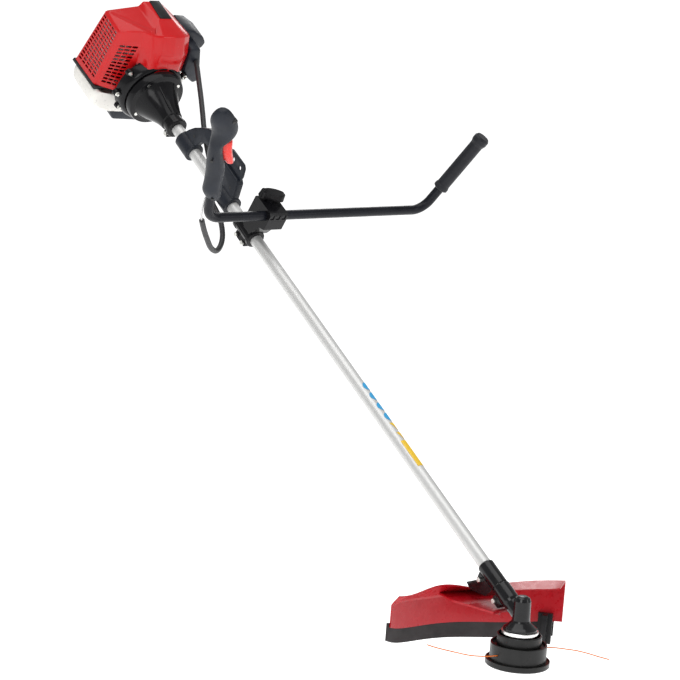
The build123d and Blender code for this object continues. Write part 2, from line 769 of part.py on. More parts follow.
PIN_ABOVE = THROW + ROD_LENGTH
with BuildPart() as piston:
    with BuildSketch(deck(PIN_ABOVE - 12)):
        with Locations((CRANK_STATION, 0)):
            Circle(PISTON_R - FIT)
    extrude(amount=28)
    with BuildSketch(deck(PIN_ABOVE - 12)):
        with Locations((CRANK_STATION, 0)):
            Circle(PISTON_R - 3)
    extrude(amount=24, mode=Mode.SUBTRACT)
    with BuildSketch(station(CRANK_STATION)):
        with Locations((0, PIN_ABOVE)):
            Circle(4)
    extrude(amount=PISTON_R - 1.2, both=True)
save(piston, "piston")

with BuildPart() as cylinder:
    with BuildSketch(deck(38)):
        with Locations((CRANK_STATION, 0)):
            Circle(23)
    extrude(amount=66)
    for fin in range(9):
        with BuildSketch(deck(46 + 6.5 * fin)):
            with Locations((CRANK_STATION, 0)):
                RectangleRounded(48, 60, 8)
        extrude(amount=2)
    with BuildSketch(deck(38)):
        with Locations((CRANK_STATION, 0)):
            RectangleRounded(44, 52, 6)
    extrude(amount=5)
    with BuildSketch(deck(24)):
        with Locations((CRANK_STATION, 0)):
            Circle(20.5)
    extrude(amount=15)
    with BuildSketch(deck(20)):
        with Locations((CRANK_STATION, 0)):
            Circle(PISTON_R)
    extrude(amount=76, mode=Mode.SUBTRACT)
    with BuildSketch(deck(90)):
        with Locations((CRANK_STATION, 0)):
            Circle(5)
    extrude(amount=20, mode=Mode.SUBTRACT)
save(cylinder, "cylinder")

with BuildPart() as plug:
    with BuildSketch(deck(96.5)):
        with Locations((CRANK_STATION, 0)):
            Circle(4.9)
    extrude(amount=8)
    with BuildSketch(deck(104.2)):
        with Locations((CRANK_STATION, 0)):
            RegularPolygon(9, 6)
    extrude(amount=9)
    with BuildSketch(deck(113)):
        with Locations((CRANK_STATION, 0)):
            Circle(6)
    extrude(amount=10)
    with BuildSketch(deck(120)):
        with Locations((CRANK_STATION, 0)):
            Circle(10)
    extrude(amount=26, taper=4)
save(plug, "spark_plug")

with BuildPart() as crankcase:
    add(shaft_turned([(1634.2, 62), (1634.2, 80), (1636, 82), (1674, 82), (1677, 79), (1678, 42),
                      (1728, 42), (1738, 36), (1740, 20), (1740, 8 + FIT), (1722, 8 + FIT), (1722, 30),
                      (1688, 30), (1688, 8 + FIT), (1672, 8 + FIT), (1672, 76), (1638, 76), (1638, 39),
                      (1634.2, 39)]).part)
    with BuildSketch(deck(22)):
        with Locations((CRANK_STATION, 0)):
            RectangleRounded(52, 52, 6)
    extrude(amount=15.8)
    with BuildSketch(deck(37.8)):           # flat seat for the cylinder
        with Locations((1711, 0)):
            Rectangle(60, 110)
    extrude(amount=30, mode=Mode.SUBTRACT)
    with BuildSketch(deck(6)):
        with Locations((CRANK_STATION, 0)):
            Circle(20.6)
    extrude(amount=40, mode=Mode.SUBTRACT)
    with BuildSketch(station(1688)):
        Circle(30)
    extrude(amount=34, mode=Mode.SUBTRACT)
    add(bolt_holes.part, mode=Mode.SUBTRACT)
save(crankcase, "crankcase")

# ================================================================ engine shells
PLAN = [(1816, 108), (1719, 112), (1692, 48), (1682, 42), (1674, 28), (1674, -30), (1684, -46),
        (1690, -62), (1706, -96), (1816, -92)]
FRONT = [(112, -36), (112, 124), (104, 133), (48, 148), (37, 172), (-4, 174), (-16, 152), (-58, 144),
         (-96, 114), (-96, -30)]
SIDE = [(1660, 78), (1664, 140), (1700, 178), (1778, 172), (1802, 150), (1822, -40), (1688, -40),
        (1686, 30), (1684, 60)]


def cover_solid(inset):
    """The space inside the three outlines of the cover, drawn in by inset."""
    with BuildPart() as block:
        with BuildSketch(deck(-80)):
            with BuildLine():
                Polyline(*PLAN, close=True)
            make_face()
            if inset:
                offset(amount=-inset)
        extrude(amount=300)
        with BuildSketch(station(1600)):
            with BuildLine():
                Polyline(*FRONT, close=True)
            make_face()
            if inset:
                offset(amount=-inset)
        extrude(amount=300, mode=Mode.INTERSECT)
        with BuildSketch(profile()):
            with BuildLine():
                Polyline(*SIDE, close=True)
            make_face()
            if inset:
                offset(amount=-inset)
        extrude(amount=200, both=True, mode=Mode.INTERSECT)
    return block.part


with BuildPart() as cover:
    add(cover_solid(0))
    add(cover_solid(3), mode=Mode.SUBTRACT)
    with BuildSketch(deck(-60)):            # open below
        with Locations((1740, 0)):
            Rectangle(200, 300)
    extrude(amount=38, mode=Mode.SUBTRACT)
    with BuildSketch(station(1640)):        # arch over the fan housing
        Circle(84)
    extrude(amount=58, mode=Mode.SUBTRACT)
    with BuildSketch(profile(-58)):         # window on the left for the intake
        with Locations((1732, 74)):
            Rectangle(95, 78)
    extrude(amount=60, mode=Mode.SUBTRACT)
    with BuildSketch(station(1770)):        # opening at the back for the starter
        Circle(64)
    extrude(amount=70, mode=Mode.SUBTRACT)
save(cover, "engine_cover")

with BuildPart() as plug_cover:             # insert in the spine, over the spark plug
    with BuildSketch(deck(150)):
        with Locations((1739, 17)):
            RectangleRounded(72, 30, 3)
    extrude(amount=34)
    with BuildSketch(profile()):
        with BuildLine():
            Polyline((1696, 176), (1700, 178.3), (1780, 172.3), (1780, 174.8), (1700, 181),
                     (1694, 178), close=True)
        make_face()
    extrude(amount=60, both=True, mode=Mode.INTERSECT)
save(plug_cover, "plug_cover")

with BuildPart() as muffler:
    with BuildSketch(profile(50)):
        with Locations((1741, 63)):
            RectangleRounded(46, 74, 12)
    extrude(amount=-49)
    with BuildSketch(profile(30.4)):
        with Locations((1724, 62)):
            Circle(10)
    extrude(amount=-22)
save(muffler, "muffler")

# --- carburettor, its air box and the operator's controls on the left of the engine
with BuildPart() as carburettor:
    with BuildSketch(profile(-30.4)):       # insulator block against the cylinder
        with Locations((CRANK_STATION, 62)):
            RectangleRounded(34, 30, 4)
    extrude(amount=18)
    with BuildSketch(profile(-48.4)):
        with Locations((CRANK_STATION + 9, 62)):
            RectangleRounded(36, 40, 4)
    extrude(amount=34)
    with BuildSketch(profile(-30)):
        with Locations((CRANK_STATION, 62)):
            Circle(7)
    extrude(amount=56, mode=Mode.SUBTRACT)
save(carburettor, "carburettor")

CHOKE_AT = (1722, 84)                      # up the shaft, above
PRIMER_AT = (-116, 84)                     # right, above
with BuildPart() as air_cover:
    with BuildSketch(station(1694)):
        with BuildLine():
            Polyline((-99, 58), (-99, 118), (-106, 134), (-122, 128), (-132, 104), (-134, 62), close=True)
        make_face()
    extrude(amount=92)
    fillet(air_cover.edges().filter_by(Axis(origin=(0, 0, 0), direction=UP_SHAFT)), radius=4)
    with BuildSketch(profile(-99)):
        with Locations((1740, 90)):
            RectangleRounded(84, 46, 6)
    extrude(amount=28, mode=Mode.SUBTRACT)
    with BuildSketch(profile(-110)):
        with Locations(CHOKE_AT):
            Circle(3 + FIT)
    extrude(amount=30, mode=Mode.SUBTRACT)
    with BuildSketch(station(1776)):
        with Locations(PRIMER_AT):
            Circle(8.6)
    extrude(amount=20, mode=Mode.SUBTRACT)
save(air_cover, "air_filter_cover")

with BuildPart() as choke:
    with BuildSketch(profile(-134.5)):
        with Locations(CHOKE_AT):
            Circle(7)
        with Locations((CHOKE_AT[0] + 12, CHOKE_AT[1])):
            RectangleRounded(26, 8, 3)
    extrude(amount=5)
    with BuildSketch(profile(-118)):
        with Locations(CHOKE_AT):
            Circle(3)
    extrude(amount=17)
save(choke, "choke_lever")

with BuildPart() as tank:
    with BuildSketch(station(1696)):
        with BuildLine():
            Polyline((-128, 46), (-128, -70), (-112, -100), (-70, -122), (72, -122), (100, -104),
                     (112, -74), (112, -44), (86, -44), (84, -84), (-98, -84), (-104, 46), close=True)
        make_face()
    extrude(amount=150)
    fillet(tank.edges().filter_by(Axis(origin=(0, 0, 0), direction=UP_SHAFT)), radius=5)
    with BuildSketch(station(1699)):        # the fuel space inside
        with BuildLine():
            Polyline((-125, 40), (-125, -68), (-110, -97), (-69, -119), (71, -119), (98, -102),
                     (109, -74), (109, -48), (89, -48), (87, -87), (-101, -87), (-107, 40), close=True)
        make_face()
    extrude(amount=144, mode=Mode.SUBTRACT)
save(tank, "fuel_tank")

CAP_AT = (-20, -102)
with BuildPart() as cap:
    with BuildSketch(station(1846.4)):
        with Locations(CAP_AT):
            Circle(17)
            with PolarLocations(17.5, 12):
                Circle(2, mode=Mode.SUBTRACT)
    extrude(amount=13)
save(cap, "fuel_cap")

with BuildPart() as foot:
    with BuildSketch(station(1682.5)):
        with BuildLine():
            Polyline((48, -102), (40, -122), (-78, -127), (-86, -110), (-52, -80), (22, -80), close=True)
        make_face()
    extrude(amount=13.2)
    with BuildSketch(station(1682.5)):
        with BuildLine():
            Polyline((36, -102), (32, -116), (-72, -120), (-76, -110), (-50, -88), (20, -88), close=True)
        make_face()
    extrude(amount=9, mode=Mode.SUBTRACT)
save(foot, "tank_foot")

with BuildPart() as primer:
    with BuildSketch(station(1779)):
        with Locations(PRIMER_AT):
            Circle(8.2)
    extrude(amount=9)
    with BuildSketch(station(1788)):
        with Locations(PRIMER_AT):
            Circle(8.2)
    extrude(amount=5, taper=35)
save(primer, "primer_bulb")

# ================================================================ recoil starter
with BuildPart() as starter_cover:
    add(shaft_turned([(1768, 57), (1768, 60), (1824, 60), (1834, 50), (1834, 0), (1800, 0), (1800, 5),
                      (1830, 5), (1830, 48), (1822, 57)]).part)
    with BuildSketch(station(1826)):
        with PolarLocations(30, 8):
            Rectangle(18, 6)
    extrude(amount=12, mode=Mode.SUBTRACT)
save(starter_cover, "starter_cover")

starter_pulley = shaft_turned([(1806, 5 + FIT), (1806, 30), (1808, 30), (1810, 26), (1812, 26),
                               (1814, 30), (1816, 30), (1816, 5 + FIT)])
save(starter_pulley, "starter_pulley")

HANDLE_AT = (1827, 20)                     # up the shaft, right
with BuildPart() as starter_handle:
    with BuildSketch(deck(67)):
        with Locations(HANDLE_AT):
            RectangleRounded(13, 48, 5)
    extrude(amount=15)
    with BuildSketch(deck(58)):
        with Locations(HANDLE_AT):
            Circle(2)
    extrude(amount=10)
save(starter_handle, "starter_handle")
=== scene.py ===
import bpy
import bmesh
from math import cos, pi, radians, sin
from mathutils import Matrix, Vector


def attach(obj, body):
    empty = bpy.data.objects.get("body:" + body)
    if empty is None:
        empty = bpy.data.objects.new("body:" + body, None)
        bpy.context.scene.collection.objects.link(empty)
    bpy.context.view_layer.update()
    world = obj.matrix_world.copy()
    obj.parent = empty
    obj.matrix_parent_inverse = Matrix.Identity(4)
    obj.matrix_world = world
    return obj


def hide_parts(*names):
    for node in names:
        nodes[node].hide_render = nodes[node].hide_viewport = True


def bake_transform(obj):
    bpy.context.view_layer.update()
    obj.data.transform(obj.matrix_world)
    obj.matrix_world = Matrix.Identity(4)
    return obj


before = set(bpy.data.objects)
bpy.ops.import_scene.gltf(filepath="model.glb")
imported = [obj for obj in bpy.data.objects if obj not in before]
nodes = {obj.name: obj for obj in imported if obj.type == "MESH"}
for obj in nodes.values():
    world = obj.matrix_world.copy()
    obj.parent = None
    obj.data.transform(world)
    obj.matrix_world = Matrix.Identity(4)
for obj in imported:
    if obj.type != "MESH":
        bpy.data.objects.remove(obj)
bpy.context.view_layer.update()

# ---------------------------------------------------------------- camera
# A long lens a little above the machine, ahead of it and to its right. The horizon leans a few degrees.
lens = bpy.data.cameras.new("studio_camera")
lens.lens = 147.9
lens.sensor_width = 36
lens.clip_end = 200
camera = bpy.data.objects.new("studio_camera", lens)
bpy.context.scene.collection.objects.link(camera)
right = Vector((-0.769836, 0.633841, 0.074815))
up = Vector((-0.058960, -0.187345, 0.980523))
back = Vector((0.635512, 0.750431, 0.181596))
turn = Matrix((right, up, back)).transposed().to_4x4()
camera.matrix_world = Matrix.Translation((3.84467, 4.93131, 0.77892)) @ turn
bpy.context.scene.camera = camera
bpy.context.scene.view_settings.view_transform = "Standard"

# ---------------------------------------------------------------- cable sleeve
# Corrugated black plastic conduit for the throttle cable and the stop wires. It leaves the air box, passes
# under the hip guard, hangs in a loop below the shaft and ends under the throttle grip.
TILT = radians(33)
CROSSING = Vector((0, 1.02360, -0.76847))
UP_SHAFT = Vector((0, -cos(TILT), sin(TILT)))
ABOVE = Vector((0, sin(TILT), cos(TILT)))
ROOT = "engine_and_shaft"


def spot(x, s, p):
    """The place x to the right, s up the shaft and p above its axis, given in millimetres."""
    return CROSSING + Vector((x, 0, 0)) / 1000 + UP_SHAFT * s / 1000 + ABOVE * p / 1000


def route_curve(name, points):
    """One open NURBS spline with the route's points as its control points."""
    curve = bpy.data.curves.new(name, "CURVE")
    curve.dimensions = "3D"
    curve.resolution_u = 10
    spline = curve.splines.new("NURBS")
    spline.points.add(len(points) - 1)
    for knot, point in zip(spline.points, points):
        knot.co = (*point, 1)
    spline.order_u = 3
    spline.use_endpoint_u = True
    return curve


def line_of(curve):
    """The points along a route's spline."""
    holder = bpy.data.objects.new("route", curve)
    bpy.context.scene.collection.objects.link(holder)
    bpy.context.view_layer.update()
    mesh = bpy.data.meshes.new_from_object(holder)
    points = [vertex.co.copy() for vertex in mesh.vertices]
    bpy.data.objects.remove(holder)
    bpy.data.meshes.remove(mesh)
    return points


def evenly(points, step):
    """Points on the same line at an even step, with its direction at each."""
    placed, length = [(points[0], (points[1] - points[0]).normalized())], 0.0
    for first, second in zip(points, points[1:]):
        run = (second - first).length
        heading = (second - first).normalized()
        travel = step - length
        while travel <= run:
            placed.append((first + heading * travel, heading))
            travel += step
        length = (length + run) % step
    return placed


def link(name, mesh):
    piece = bpy.data.objects.new(name, mesh)
    bpy.context.scene.collection.objects.link(piece)
    return piece


def ribbed_tube(name, points, radius, pitch, depth, sides=20):
    """A tube along a line whose radius swells at every pitch."""
    build = bmesh.new()
    rings, across = [], None
    for number, (centre, heading) in enumerate(evenly(points, pitch / 4)):
        across = (across or Vector((1, 0, 0)))
        across = (across - heading * across.dot(heading)).normalized()
        other = heading.cross(across)
        swell = radius - depth * (0.0, 0.35, 1.0, 0.35)[number % 4]
        rings.append([build.verts.new(centre + (across * cos(a) + other * sin(a)) * swell)
                      for a in (2 * pi * side / sides for side in range(sides))])
    for low, high in zip(rings, rings[1:]):
        for side in range(sides):
            after = (side + 1) % sides
            build.faces.new((low[side], low[after], high[after], high[side]))
    build.faces.new(reversed(rings[0]))
    build.faces.new(rings[-1])
    mesh = bpy.data.meshes.new(name)
    build.to_mesh(mesh)
    build.free()
    for face in mesh.polygons:
        face.use_smooth = len(face.vertices) == 4
    return link(name, mesh)


def finish(name, colour, rough, grain=900.0, bump=0.00008, metal=0.0, coat=0.0, shade=0.18, worn=None,
           edge=0.0006, spread=0.08, sheen=0.0, through=0.0, gloss=0.5, stretch=None):
    """A moulded, painted or metal surface: two shades in soft patches, uneven gloss, a fine grain in relief
    and corners that are rounded off and rubbed lighter."""
    material = bpy.data.materials.new(name)
    material.use_nodes = True
    tree = material.node_tree
    shader = tree.nodes["Principled BSDF"]
    shader.inputs["Metallic"].default_value = metal
    shader.inputs["Coat Weight"].default_value = coat
    shader.inputs["Coat Roughness"].default_value = 0.1
    shader.inputs["Specular IOR Level"].default_value = gloss
    shader.inputs["Sheen Weight"].default_value = sheen
    shader.inputs["Transmission Weight"].default_value = through
    place = tree.nodes.new("ShaderNodeTexCoord").outputs["Object"]
    if stretch:
        mapping = tree.nodes.new("ShaderNodeMapping")
        mapping.inputs["Rotation"].default_value = (stretch[0], 0, 0)
        turned = tree.nodes.new("ShaderNodeMapping")
        turned.inputs["Scale"].default_value = stretch[1]
        tree.links.new(place, mapping.inputs["Vector"])
        tree.links.new(mapping.outputs["Vector"], turned.inputs["Vector"])
        place = turned.outputs["Vector"]

    def noise(scale, detail):
        pattern = tree.nodes.new("ShaderNodeTexNoise")
        pattern.inputs["Scale"].default_value = scale
        pattern.inputs["Detail"].default_value = detail
        tree.links.new(place, pattern.inputs["Vector"])
        return pattern.outputs["Fac"]

    def between(value, low, high, start, end):
        step = tree.nodes.new("ShaderNodeMapRange")
        for socket, number in (("From Min", low), ("From Max", high), ("To Min", start), ("To Max", end)):
            step.inputs[socket].default_value = number
        tree.links.new(value, step.inputs["Value"])
        return step.outputs["Result"]

    patches = noise(26, 5)
    speckle = noise(grain, 3)
    ramp = tree.nodes.new("ShaderNodeValToRGB")
    ramp.color_ramp.elements[0].position = 0.3
    ramp.color_ramp.elements[0].color = (*[c * (1 - shade) for c in colour], 1)
    ramp.color_ramp.elements[1].position = 0.7
    ramp.color_ramp.elements[1].color = (*[min(1, c * (1 + shade) + 0.002) for c in colour], 1)
    tree.links.new(patches, ramp.inputs["Fac"])
    rounded = tree.nodes.new("ShaderNodeBevel")
    rounded.samples = 4
    rounded.inputs["Radius"].default_value = edge
    relief = tree.nodes.new("ShaderNodeBump")
    relief.inputs["Strength"].default_value = 0.6
    relief.inputs["Distance"].default_value = bump
    tree.links.new(speckle, relief.inputs["Height"])
    tree.links.new(rounded.outputs["Normal"], relief.inputs["Normal"])
    tree.links.new(relief.outputs["Normal"], shader.inputs["Normal"])
    tree.links.new(between(noise(70, 4), 0.3, 0.7, max(0.02, rough - spread), rough + spread),
                   shader.inputs["Roughness"])
    colour_out = ramp.outputs["Color"]
    if worn:
        flat = tree.nodes.new("ShaderNodeNewGeometry")
        alike = tree.nodes.new("ShaderNodeVectorMath")
        alike.operation = "DOT_PRODUCT"
        tree.links.new(rounded.outputs["Normal"], alike.inputs[0])
        tree.links.new(flat.outputs["Normal"], alike.inputs[1])
        rubbed = tree.nodes.new("ShaderNodeMath")
        rubbed.operation = "MULTIPLY"
        tree.links.new(between(alike.outputs["Value"], 0.8, 0.99, 1, 0), rubbed.inputs[0])
        tree.links.new(between(noise(160, 4), 0.42, 0.66, 0, 0.7), rubbed.inputs[1])
        blended = tree.nodes.new("ShaderNodeMix")
        blended.data_type = "RGBA"
        tree.links.new(rubbed.outputs[0], blended.inputs[0])
        tree.links.new(colour_out, blended.inputs[6])
        blended.inputs[7].default_value = (*worn, 1)
        colour_out = blended.outputs[2]
    tree.links.new(colour_out, shader.inputs["Base Color"])
    return material


def dress(piece, material):
    """Gives a piece or a CAD node its material."""
    if not piece.data.materials:
        piece.data.materials.append(material)
    for slot in piece.material_slots:
        slot.link = "OBJECT"
        slot.material = material
    return piece


SLEEVE_ROUTE = [
    (-110, 1691, 85), (-101, 1655, 77), (-84, 1610, 69), (-66, 1560, 60), (-47, 1508, 48), (-31, 1466, 38),
    (-24, 1425, 20), (-25, 1385, -6), (-10, 1342, -28), (14, 1295, -31), (34, 1254, -16), (42, 1215, -14),
    (44, 1180, -40), (66, 1157, -56), (100, 1147, -36), (131, 1142, 0), (158, 1140, 34), (175, 1140, 60)]
conduit = finish("corrugated_conduit", (0.018, 0.018, 0.02), 0.42, grain=1500, bump=0.00005, sheen=0.1)
sleeve_line = line_of(route_curve("sleeve_route", [spot(*place) for place in SLEEVE_ROUTE]))
sleeve = dress(ribbed_tube("conduit_sleeve", sleeve_line, 0.0064, 0.0036, 0.0005), conduit)
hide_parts("cable_sleeve")
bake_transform(sleeve)

# ---------------------------------------------------------------- throttle cable
# Steel-braid cable, bare between the end of its sleeve and the foot of the throttle grip.
CABLE_ROUTE = [(175, 1140, 60), (184.2, 1140, 74.1), (191, 1141, 98), (196, 1141, 125)]
cable_line = line_of(route_curve("cable_route", [spot(*place) for place in CABLE_ROUTE]))
silver_braid = finish("silver_braid", (0.62, 0.62, 0.62), 0.3, grain=2600, bump=0.0002, metal=1.0)
cable = dress(ribbed_tube("braided_cable", cable_line, 0.0024, 0.0012, 0.0002, sides=12), silver_braid)
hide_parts("throttle_cable")
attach(cable, "bar")

# ---------------------------------------------------------------- trimmer line
# Two free ends of orange nylon line, which keep the curl that they had on the spool.
nylon = finish("orange_nylon", (0.85, 0.2, 0.02), 0.35, grain=1800, bump=0.00003, shade=0.1, through=0.15)
for name, node, side in (("line_end_right", "trimmer_line_right", 1),
                         ("line_end_left", "trimmer_line_left", -1)):
    reach = [(54, 0), (74, -2), (93, -12), (109, -29), (121, -51), (129, -76), (135, -101), (139, -122)]
    drop = [0, 0.4, 0.2, -0.4, 0.6, 0.2, -0.8, -0.2]
    points = [Vector((side * x, side * y + 1023.6, 40 + z - 884.87)) / 1000
              for (x, y), z in zip(reach, drop)]
    curve = route_curve(name, points)
    curve.bevel_depth = 0.0012
    curve.bevel_resolution = 3
    curve.use_fill_caps = True
    curve.materials.append(nylon)
    line = link(name, curve)
    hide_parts(node)
    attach(line, "head")

# ---------------------------------------------------------------- floor and light
# White studio sweep under a broad overhead softbox, with a key light from the right of the camera and a
# strip light behind for the long highlights on the gloss black parts.
GROUND = -0.88487
sweep = bmesh.new()
bmesh.ops.create_grid(sweep, x_segments=1, y_segments=1, size=60)
floor_mesh = bpy.data.meshes.new("studio_floor")
sweep.to_mesh(floor_mesh)
sweep.free()
floor = link("studio_floor", floor_mesh)
floor.location.z = GROUND - 0.25
white_paint = finish("studio_white", (0.93, 0.93, 0.93), 0.9, grain=30, bump=0.0, shade=0.01)
lit_from_below = white_paint.node_tree.nodes["Principled BSDF"]
lit_from_below.inputs["Emission Color"].default_value = (1, 1, 1, 1)
lit_from_below.inputs["Emission Strength"].default_value = 0.72
dress(floor, white_paint)
for name, place, target, size, watts in (
        ("softbox_top", (0.6, 0.6, 3.2), (0, 0.4, -0.4), 3.4, 62),
        ("softbox_key", (4.2, 3.0, 2.0), (0, 0.2, -0.3), 2.2, 52),
        ("softbox_left", (-2.6, 4.6, 1.6), (0, 0.4, -0.4), 2.0, 26),
        ("strip_back", (-2.4, -2.6, 1.8), (0, 0.1, 0.0), 1.8, 30)):
    light = bpy.data.lights.new(name, "AREA")
    light.size = size
    light.energy = watts
    lamp = bpy.data.objects.new(name, light)
    bpy.context.scene.collection.objects.link(lamp)
    lamp.location = place
    lamp.rotation_euler = (Vector(target) - Vector(place)).to_track_quat("-Z", "Y").to_euler()
world = bpy.data.worlds.new("studio_world")
bpy.context.scene.world = world
world.use_nodes = True
world.node_tree.nodes["Background"].inputs["Color"].default_value = (1, 1, 1, 1)
world.node_tree.nodes["Background"].inputs["Strength"].default_value = 0.42

# ---------------------------------------------------------------- cutting head
# Glass-filled nylon drum and lid that snap together round the spool, with a translucent bump knob below.
drum_nylon = finish("drum_nylon", (0.012, 0.012, 0.012), 0.34, grain=700, bump=0.00012,
                    worn=(0.07, 0.07, 0.07), gloss=0.3)
milky = finish("milky_nylon", (0.82, 0.82, 0.78), 0.35, through=0.25, shade=0.05)
for node in ("head_housing", "head_cover", "dust_cup", "spool"):
    dress(nodes[node], drum_nylon)
dress(nodes["bump_knob"], milky)
bright_steel = finish("bright_steel", (0.62, 0.62, 0.63), 0.22, grain=1200, bump=0.00004, metal=1.0)
for node in ("spool_spring", "bevel_pinion", "bevel_gear", "output_shaft", "gearbox_bearings",
             "drive_shaft", "clutch_drum", "clutch_shoes", "crankshaft", "connecting_rod"):
    dress(nodes[node], bright_steel)
silver_ring = finish("turned_flange", (0.82, 0.82, 0.8), 0.18, grain=900, bump=0.00003, metal=0.9)
dress(nodes["drive_flange"], silver_ring)

# ---------------------------------------------------------------- gearbox
# Die-cast housing in gloss black enamel, clamped on the tube by a lug and a zinc-plated bolt.
enamel = finish("black_enamel", (0.004, 0.004, 0.005), 0.2, grain=260, bump=0.00004, coat=0.25,
                worn=(0.05, 0.05, 0.055), edge=0.0012, gloss=0.25)
for node in ("gearbox_housing", "guard_bracket"):
    dress(nodes[node], enamel)
zinc = finish("zinc_plate", (0.72, 0.72, 0.68), 0.28, grain=800, bump=0.00006, metal=1.0, shade=0.25)
dress(nodes["bolts"], zinc)

# ---------------------------------------------------------------- drive tube
# Drawn aluminium tube, satin anodised, with fine lines along its length.
satin_aluminium = finish("satin_aluminium", (0.66, 0.66, 0.65), 0.42, grain=500, bump=0.00002, metal=0.4,
                         shade=0.06, stretch=(TILT, (1, 0.02, 1)))
dress(nodes["shaft_tube"], satin_aluminium)
bush_rubber = finish("bush_rubber", (0.03, 0.03, 0.03), 0.7)
dress(nodes["shaft_bushes"], bush_rubber)

# ---------------------------------------------------------------- guard
# Impact-resistant red moulding with a black rubber skirt under its edge and a black line cutter.
guard_red = finish("guard_red", (0.46, 0.006, 0.014), 0.3, grain=420, bump=0.00004, coat=0.1, shade=0.02,
                   edge=0.0012, gloss=0.35)
dress(nodes["guard"], guard_red)
skirt_rubber = finish("skirt_rubber", (0.028, 0.025, 0.026), 0.6, grain=300, bump=0.0002, shade=0.3,
                      gloss=0.3)
dress(nodes["guard_skirt"], skirt_rubber)
black_plastic = finish("black_plastic", (0.009, 0.009, 0.01), 0.36, grain=700, bump=0.0001, gloss=0.3)
dress(nodes["line_cutter"], black_plastic)

# ---------------------------------------------------------------- handlebar and its clamp
# Bent steel tube in satin black powder coat, held by a gloss nylon block with a wing knob.
powder = finish("powder_coat", (0.006, 0.007, 0.011), 0.3, grain=1100, bump=0.00012, gloss=0.2)
dress(nodes["handlebar"], powder)
gloss_nylon = finish("gloss_nylon", (0.005, 0.005, 0.006), 0.18, grain=500, bump=0.00004, coat=0.1,
                     worn=(0.07, 0.07, 0.075), edge=0.001, gloss=0.15)
for node in ("bar_clamp_base", "bar_clamp_cap", "wing_knob"):
    dress(nodes[node], gloss_nylon)
grip_rubber = finish("grip_rubber", (0.008, 0.009, 0.013), 0.5, grain=900, bump=0.0002, sheen=0.05, gloss=0.3)
dress(nodes["left_grip"], grip_rubber)

# ---------------------------------------------------------------- throttle grip
# Two screwed half shells in grained anthracite nylon, swollen at the heel, with a hooded head that guards
# the trigger. The grip slides over the bar's end and three countersunk screws hold the halves.
anthracite = finish("anthracite_nylon", (0.009, 0.012, 0.019), 0.42, grain=1300, bump=0.00015,
                    worn=(0.035, 0.04, 0.05), edge=0.0015, gloss=0.3)
ACROSS = Vector((0.77, -0.63, -0.08))
GRIP_AXIS = Vector((0.324, 0, 0)) + ABOVE * 0.946
GRIP_SIDE = Vector((0.946, 0, 0)) - ABOVE * 0.324
AHEAD = GRIP_AXIS.cross(ACROSS).normalized()
BAR_END = (181, 1122, 83)


def on_grip(along, aside, behind=0):
    """The place so far along the grip from the bend in the bar, aside of its axis and behind it."""
    return spot(*BAR_END) + (GRIP_AXIS * along + GRIP_SIDE * aside + UP_SHAFT * behind) / 1000


def swept(name, sections, sides=16, levels=2, square=1.0):
    """A solid through oval sections, each given by its centre, half its width and half its depth."""
    build = bmesh.new()
    rings = []
    for place, wide, deep in sections:
        ring = []
        for side in range(sides):
            turn = 2 * pi * side / sides
            reach = [abs(part) ** square * (1 if part > 0 else -1) for part in (cos(turn), sin(turn))]
            ring.append(build.verts.new(place + (ACROSS * reach[0] * wide + AHEAD * reach[1] * deep) / 1000))
        rings.append(ring)
    for low, high in zip(rings, rings[1:]):
        for side in range(sides):
            after = (side + 1) % sides
            build.faces.new((low[side], low[after], high[after], high[side]))
    build.faces.new(reversed(rings[0]))
    build.faces.new(rings[-1])
    bmesh.ops.recalc_face_normals(build, faces=build.faces)
    mesh = bpy.data.meshes.new(name)
    build.to_mesh(mesh)
    build.free()
    piece = link(name, mesh)
    if levels:
        smooth = piece.modifiers.new("smooth", "SUBSURF")
        smooth.levels = smooth.render_levels = levels
    return settle(piece)


def settle(piece, sharp=32):
    """Keeps the piece's finished mesh, shades it and drops its modifiers."""
    bpy.context.view_layer.update()
    graph = bpy.context.evaluated_depsgraph_get()
    mesh = bpy.data.meshes.new_from_object(piece.evaluated_get(graph))
    piece.modifiers.clear()
    piece.data = mesh
    mesh.shade_smooth()
    mesh.set_sharp_from_angle(angle=radians(sharp))
    return piece


def turned(name, profile, place, axis, segments=72):
    """A piece turned on a lathe: its profile is radius and distance along the axis, in millimetres."""
    across = axis.orthogonal().normalized()
    other = axis.cross(across)
    build = bmesh.new()
    rings = [[build.verts.new(place + (axis * along + (across * cos(turn) + other * sin(turn)) * radius)
                              / 1000)
              for turn in (2 * pi * step / segments for step in range(segments))]
             for radius, along in profile]
    for low, high in zip(rings, rings[1:] + rings[:1]):
        for step in range(segments):
            after = (step + 1) % segments
            build.faces.new((low[step], low[after], high[after], high[step]))
    bmesh.ops.recalc_face_normals(build, faces=build.faces)
    mesh = bpy.data.meshes.new(name)
    build.to_mesh(mesh)
    build.free()
    return settle(link(name, mesh))


FOOT = [(56, -10, 10, 10), (64, -8, 16, 14), (80, -3, 20, 17)]
HEEL = [(94, 1, 22, 18), (112, 0, 20, 17)]
PALM_SWELL = [(148, -3, 22, 18), (175, 2, 20, 18), (205, 5, 17, 17), (230, 5, 15, 17)]
HOOD = [(241, -8, 26, 19), (262, -14, 29, 21), (288, -6, 30, 20), (306, 0, 26, 18)]
CROWN = [(320, 1, 18, 14), (329, 2, 9, 8)]
grip = dress(swept("throttle_grip", [(on_grip(along, aside), wide, deep) for along, aside, wide, deep
                                     in FOOT + HEEL + PALM_SWELL + HOOD + CROWN]), anthracite)
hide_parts("throttle_grip_outer", "throttle_grip_inner")
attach(grip, "bar")

